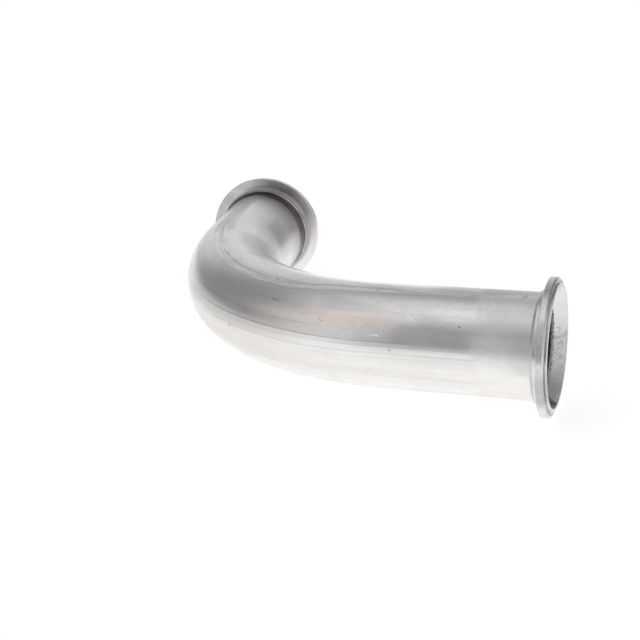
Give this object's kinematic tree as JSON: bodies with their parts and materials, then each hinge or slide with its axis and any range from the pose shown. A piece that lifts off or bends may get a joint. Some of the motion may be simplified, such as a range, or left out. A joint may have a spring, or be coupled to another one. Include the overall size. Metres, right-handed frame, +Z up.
{
  "type": "intermediate exhaust pipe",
  "caption": "Bent stainless exhaust pipe with a single wide bend and a welded clamp flange at each mouth, for joining two exhaust sections with band clamps.",
  "frame": {"origin": "centre of the front mouth, in the plane of its nose", "axes": "+Z up from the floor the pipe lies on; +X out along the front arm, which rises a few degrees; +Y towards the rear mouth"},
  "size_m": [0.3608, 0.2947, 0.0983],
  "materials": {
    "tube_steel": "satin drawn stainless steel with light bending marks",
    "flange_steel": "turned stainless steel",
    "weld_steel": "as-welded bead, slightly tinted by heat"
  },
  "bodies": {
    "root": {"bent_tube": "tube_steel", "front_flange": "flange_steel", "rear_flange": "flange_steel", "front_weld": "weld_steel", "rear_weld": "weld_steel"}
  },
  "joints": []
}
